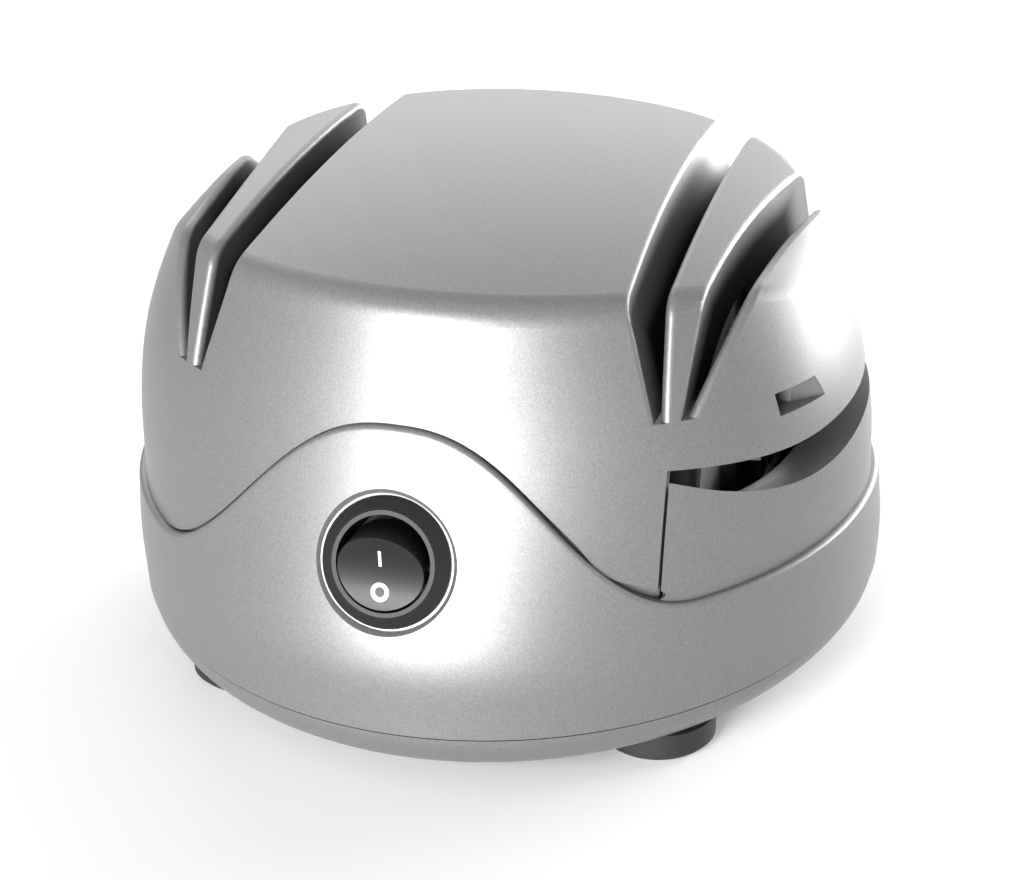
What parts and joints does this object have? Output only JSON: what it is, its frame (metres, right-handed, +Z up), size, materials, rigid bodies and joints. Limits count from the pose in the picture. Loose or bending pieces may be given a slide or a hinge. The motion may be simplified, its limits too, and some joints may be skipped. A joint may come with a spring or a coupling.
{
  "type": "electric knife sharpener",
  "caption": "Countertop electric knife sharpener: rounded silver case with knife guide slots in the top, a scissors slot and screwdriver hole in the flank, rocker switch in front.",
  "frame": {"origin": "on the table, under the middle of the bounding box", "axes": "+Z up, -Y towards the side with the rocker switch, +X towards the side with the scissors slot"},
  "size_m": [0.1526, 0.1522, 0.101],
  "materials": {
    "painted_silver": "silver metallic paint on ABS, satin, fine sparkle",
    "grey_abs": "moulded, matt",
    "black_rubber": "matt",
    "black_nylon": "satin",
    "black_gloss": "polished",
    "brass": "plain",
    "zinc_steel": "zinc plated",
    "zinc_sheet": "zinc plated sheet",
    "electrical_steel": "laminated, oiled",
    "enamelled_copper": "varnished windings",
    "cast_aluminium": "as cast",
    "sintered_bronze": "oiled",
    "carbon": "pressed carbon",
    "brown_phenolic": "moulded",
    "spring_steel": "wire",
    "ground_steel": "ground",
    "copper": "turned",
    "coarse_grit": "bonded abrasive, coarse",
    "fine_grit": "bonded abrasive, fine",
    "yellow_film": "boxed film capacitor",
    "white_nylon": "moulded",
    "wire_pvc": "insulated wire"
  },
  "bodies": {
    "casing": {"upper_housing": "painted_silver", "lower_housing": "painted_silver", "scissors_guide_panel": "painted_silver", "base_plate": "painted_silver", "rubber_foot_front_left": "black_rubber", "rubber_foot_front_right": "black_rubber", "rubber_foot_back_left": "black_rubber", "rubber_foot_back_right": "black_rubber", "switch_body": "black_nylon", "switch_terminals": "brass", "cord_grommet": "black_rubber", "housing_screws": "zinc_steel", "stator_core": "electrical_steel", "field_coils": "enamelled_copper", "motor_bracket_left": "cast_aluminium", "motor_bracket_right": "cast_aluminium", "bearing_left": "sintered_bronze", "bearing_right": "sintered_bronze", "motor_screws": "zinc_steel", "motor_mount": "zinc_sheet", "rubber_mounts": "black_rubber", "mount_screws": "zinc_steel", "carbon_brushes": "carbon", "brush_holders": "brown_phenolic", "brush_springs": "spring_steel", "grit_tray_left": "grey_abs", "grit_tray_right": "grey_abs", "suppression_capacitor": "yellow_film", "terminal_block": "white_nylon", "internal_wires": "wire_pvc"},
    "rotor": {"motor_shaft": "ground_steel", "rotor_core": "electrical_steel", "rotor_windings": "enamelled_copper", "commutator": "copper", "cooling_fan": "black_nylon", "coarse_wheel": "coarse_grit", "fine_wheel": "fine_grit", "wheel_hub_left": "cast_aluminium", "wheel_hub_right": "cast_aluminium", "wheel_washers": "zinc_steel", "wheel_nuts": "zinc_steel"},
    "rocker": {"switch_rocker": "black_gloss"}
  },
  "joints": [
    {"name": "rotor_spin", "type": "hinge", "parent": "casing", "child": "rotor", "pos_m": [0, -0.0025, 0.0465], "axis": [1, 0, 0], "continuous": true},
    {"name": "rocker_swing", "type": "hinge", "parent": "casing", "child": "rocker", "pos_m": [0, -0.06913, 0.04718], "axis": [-1, 0, 0], "range_deg": [0, 32]}
  ]
}
